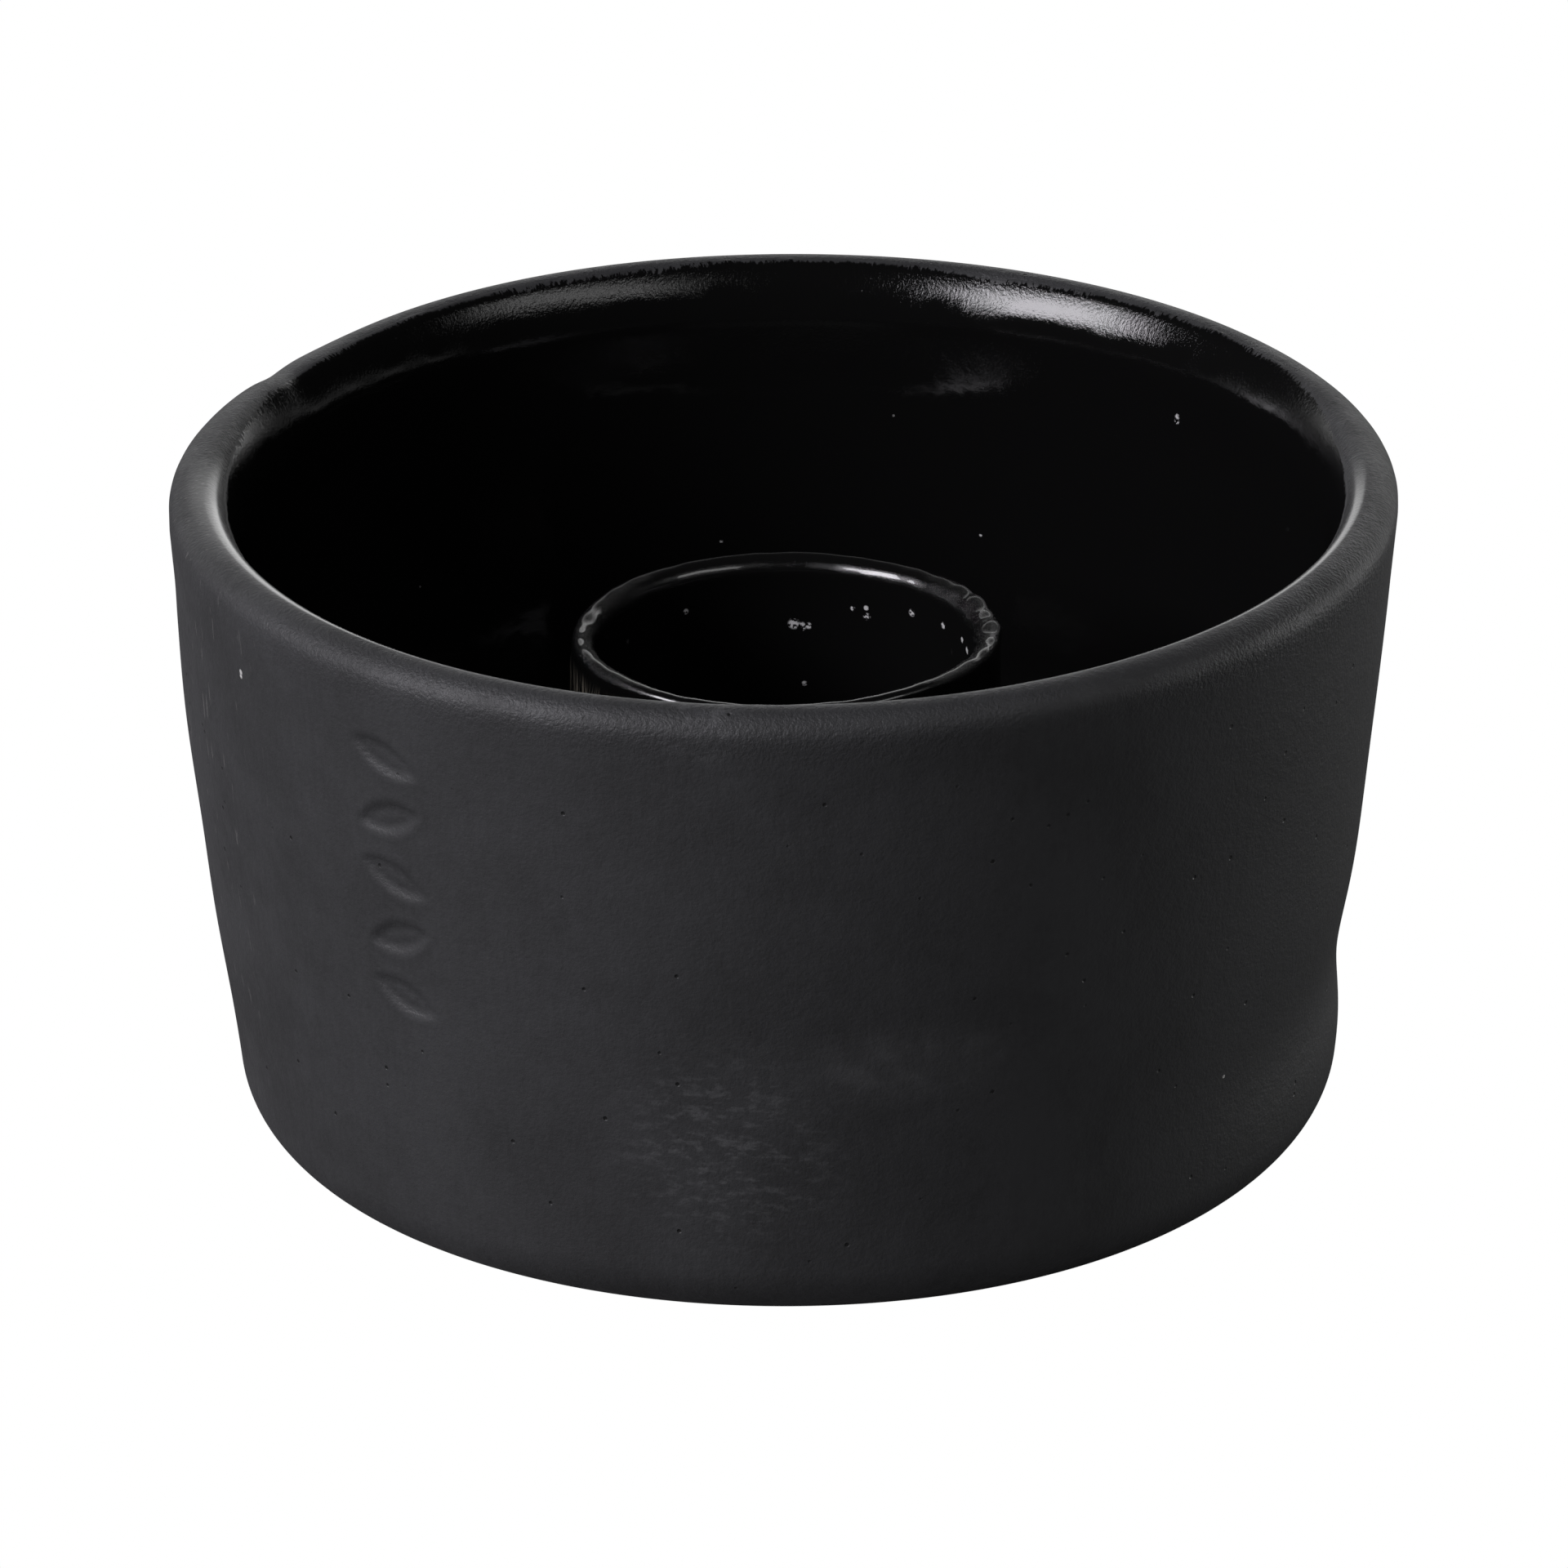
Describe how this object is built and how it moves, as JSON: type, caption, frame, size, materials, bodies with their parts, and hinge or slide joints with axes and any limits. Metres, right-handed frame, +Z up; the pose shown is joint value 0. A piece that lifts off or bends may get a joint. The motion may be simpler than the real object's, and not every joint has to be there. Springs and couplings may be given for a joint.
{
  "type": "stoneware candle bowl with fixed centre cup",
  "caption": "Low flared black stoneware bowl with a thick round rim and a glazed candle cup luted upright to the middle of its glazed floor.",
  "frame": {"origin": "on the surface it stands on, under the middle of the bowl", "axes": "+Z up along the bowl's axis of turning; X and Y are equal, with the felt feet on the diagonals"},
  "size_m": [0.13, 0.13, 0.0738],
  "materials": {
    "black_stoneware": "unglazed, dry matte, fine tooth, faint scuffs",
    "black_slip": "fired slip, smoothed, under the glaze",
    "black_glaze": "glossy, lightly rippled, ragged at its edge",
    "dark_felt": "pressed felt"
  },
  "bodies": {
    "root": {"bowl_body": "black_stoneware", "candle_cup": "black_stoneware", "slip_bead": "black_slip", "glaze_coat": "black_glaze", "felt_foot_1": "dark_felt", "felt_foot_2": "dark_felt", "felt_foot_3": "dark_felt", "felt_foot_4": "dark_felt"}
  },
  "joints": []
}
